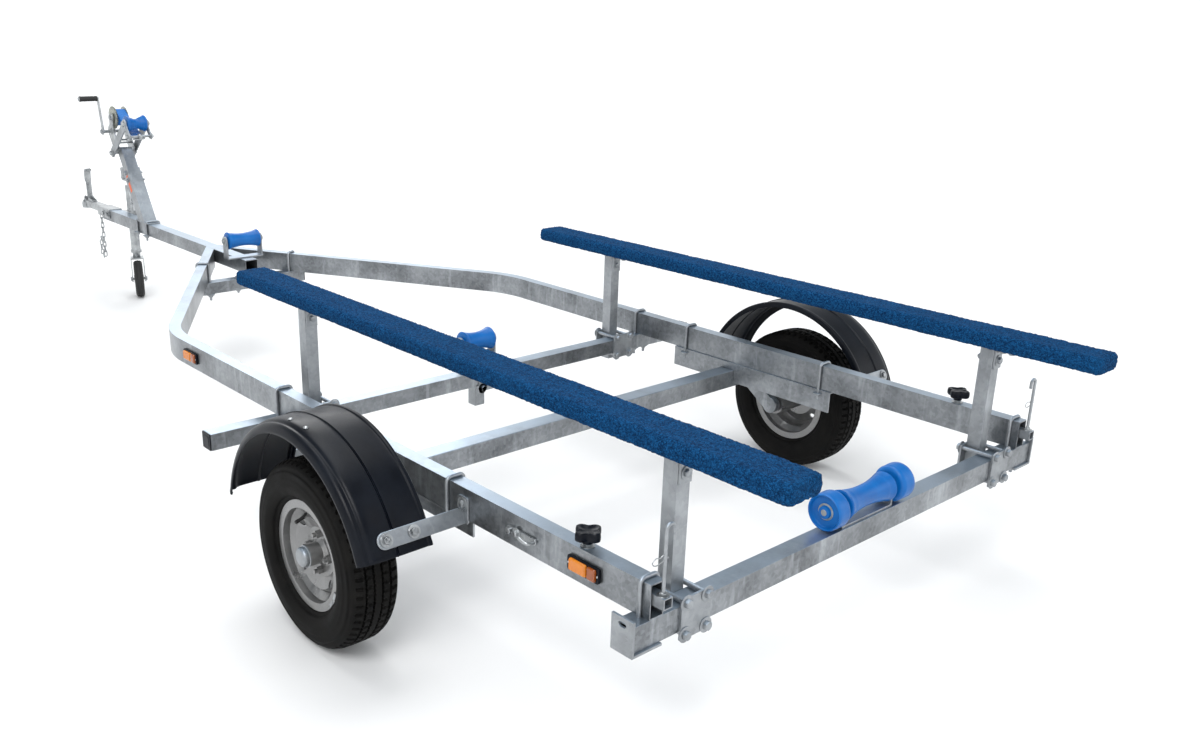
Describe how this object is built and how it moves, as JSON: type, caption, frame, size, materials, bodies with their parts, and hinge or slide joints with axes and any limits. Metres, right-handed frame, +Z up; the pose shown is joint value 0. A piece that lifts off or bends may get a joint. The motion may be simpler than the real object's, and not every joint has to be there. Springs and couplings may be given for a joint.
{
  "type": "boat trailer",
  "caption": "Bolted galvanised boat trailer with carpeted bunks, keel rollers, a hand winch, mudguards, a ball coupling and a jockey wheel.",
  "frame": {"origin": "on the floor, under the middle of the bounding box", "axes": "+X forward to the coupling, +Y to the left, +Z up"},
  "size_m": [5.462, 2.113, 1.0807],
  "materials": {
    "galvanised": "hot-dip galvanised",
    "zinc_plate": "bright zinc plated",
    "silver_paint": "satin",
    "blue_carpet": "looped marine carpet",
    "blue_plastic": "smooth",
    "blue_webbing": "woven webbing",
    "black_plastic": "fine grained",
    "black_rubber": "solid",
    "tyre_rubber": "treaded",
    "amber_lens": "clear amber"
  },
  "bodies": {
    "frame": {"side_rails": "galvanised", "drawbar": "galvanised", "front_crossmember": "galvanised", "bunk_crossmember": "galvanised", "rear_beam": "galvanised", "end_caps": "black_plastic", "axle_tube": "galvanised", "axle_hangers": "galvanised", "trailing_arms": "galvanised", "bunk_posts": "galvanised", "post_clamps": "zinc_plate", "bunk_brackets": "zinc_plate", "bunk_boards": "blue_carpet", "keel_roller_brackets": "zinc_plate", "mudguards": "black_plastic", "mudguard_lips": "black_plastic", "mudguard_straps": "zinc_plate", "coupling": "zinc_plate", "coupling_lever": "zinc_plate", "jockey_clamp": "zinc_plate", "safety_chain": "zinc_plate", "winch_post": "galvanised", "winch_frame": "zinc_plate", "winch_strap": "blue_webbing", "strap_hook": "zinc_plate", "bow_roller_bracket": "zinc_plate", "light_arm_guides": "galvanised", "light_arm_knobs": "black_plastic", "side_markers": "amber_lens", "tie_down_plates": "zinc_plate", "lashing_hooks": "zinc_plate"},
    "left_wheel": {"left_tyre": "tyre_rubber", "left_rim": "silver_paint"},
    "right_wheel": {"right_tyre": "tyre_rubber", "right_rim": "silver_paint"},
    "jockey_outer": {"jockey_tube": "zinc_plate"},
    "jockey_inner": {"jockey_stem": "zinc_plate"},
    "jockey_swivel_fork": {"jockey_fork": "zinc_plate"},
    "jockey_roller": {"jockey_wheel": "black_rubber"},
    "front_roller": {"front_keel_roller": "blue_plastic"},
    "middle_roller": {"middle_keel_roller": "blue_plastic"},
    "rear_roller": {"rear_keel_roller": "blue_plastic"},
    "bow_roller_body": {"bow_roller": "blue_plastic"},
    "drum": {"winch_drum": "zinc_plate", "wound_strap": "blue_webbing"},
    "crank": {"winch_crank": "zinc_plate", "crank_grip": "black_plastic"},
    "left_light_slide": {"left_light_arm": "galvanised"},
    "right_light_slide": {"right_light_arm": "galvanised"}
  },
  "joints": [
    {"name": "left_wheel_spin", "type": "hinge", "parent": "frame", "child": "left_wheel", "pos_m": [-1.551, 0.961, 0.245], "axis": [0, 1, 0], "continuous": true},
    {"name": "right_wheel_spin", "type": "hinge", "parent": "frame", "child": "right_wheel", "pos_m": [-1.551, -0.961, 0.245], "axis": [0, 1, 0], "continuous": true},
    {"name": "jockey_lift", "type": "slide", "parent": "frame", "child": "jockey_outer", "axis": [0, 0, 1], "range_m": [0, 0.15]},
    {"name": "jockey_screw", "type": "slide", "parent": "jockey_outer", "child": "jockey_inner", "axis": [0, 0, -1], "range_m": [0, 0.16]},
    {"name": "jockey_swivel", "type": "hinge", "parent": "jockey_inner", "child": "jockey_swivel_fork", "pos_m": [2.247, -0.074, 0.212], "axis": [0, 0, 1], "continuous": true},
    {"name": "jockey_wheel_spin", "type": "hinge", "parent": "jockey_swivel_fork", "child": "jockey_roller", "pos_m": [2.20002, -0.0569, 0.1], "axis": [0.342, 0.9397, 0], "continuous": true},
    {"name": "front_keel_roller_spin", "type": "hinge", "parent": "frame", "child": "front_roller", "pos_m": [0.789, 0, 0.55], "axis": [0, 1, 0], "continuous": true},
    {"name": "middle_keel_roller_spin", "type": "hinge", "parent": "frame", "child": "middle_roller", "pos_m": [-0.916, 0, 0.477], "axis": [0, 1, 0], "continuous": true},
    {"name": "rear_keel_roller_spin", "type": "hinge", "parent": "frame", "child": "rear_roller", "pos_m": [-2.456, 0, 0.4405], "axis": [0, 1, 0], "continuous": true},
    {"name": "bow_roller_spin", "type": "hinge", "parent": "frame", "child": "bow_roller_body", "pos_m": [1.89061, 0, 0.9593], "axis": [0, 1, 0], "continuous": true},
    {"name": "winch_drum_spin", "type": "hinge", "parent": "frame", "child": "drum", "pos_m": [2.10168, 0, 0.97375], "axis": [0, 1, 0], "continuous": true},
    {"name": "winch_crank_spin", "type": "hinge", "parent": "frame", "child": "crank", "pos_m": [2.12032, 0, 0.9042], "axis": [0, 1, 0], "continuous": true},
    {"name": "left_light_arm_slide", "type": "slide", "parent": "frame", "child": "left_light_slide", "axis": [-1, 0, 0], "range_m": [0, 0.4]},
    {"name": "right_light_arm_slide", "type": "slide", "parent": "frame", "child": "right_light_slide", "axis": [-1, 0, 0], "range_m": [0, 0.4]}
  ],
  "couplings": [
    {"joint": "winch_crank_spin", "follows": "winch_drum_spin", "ratio": -3}
  ]
}
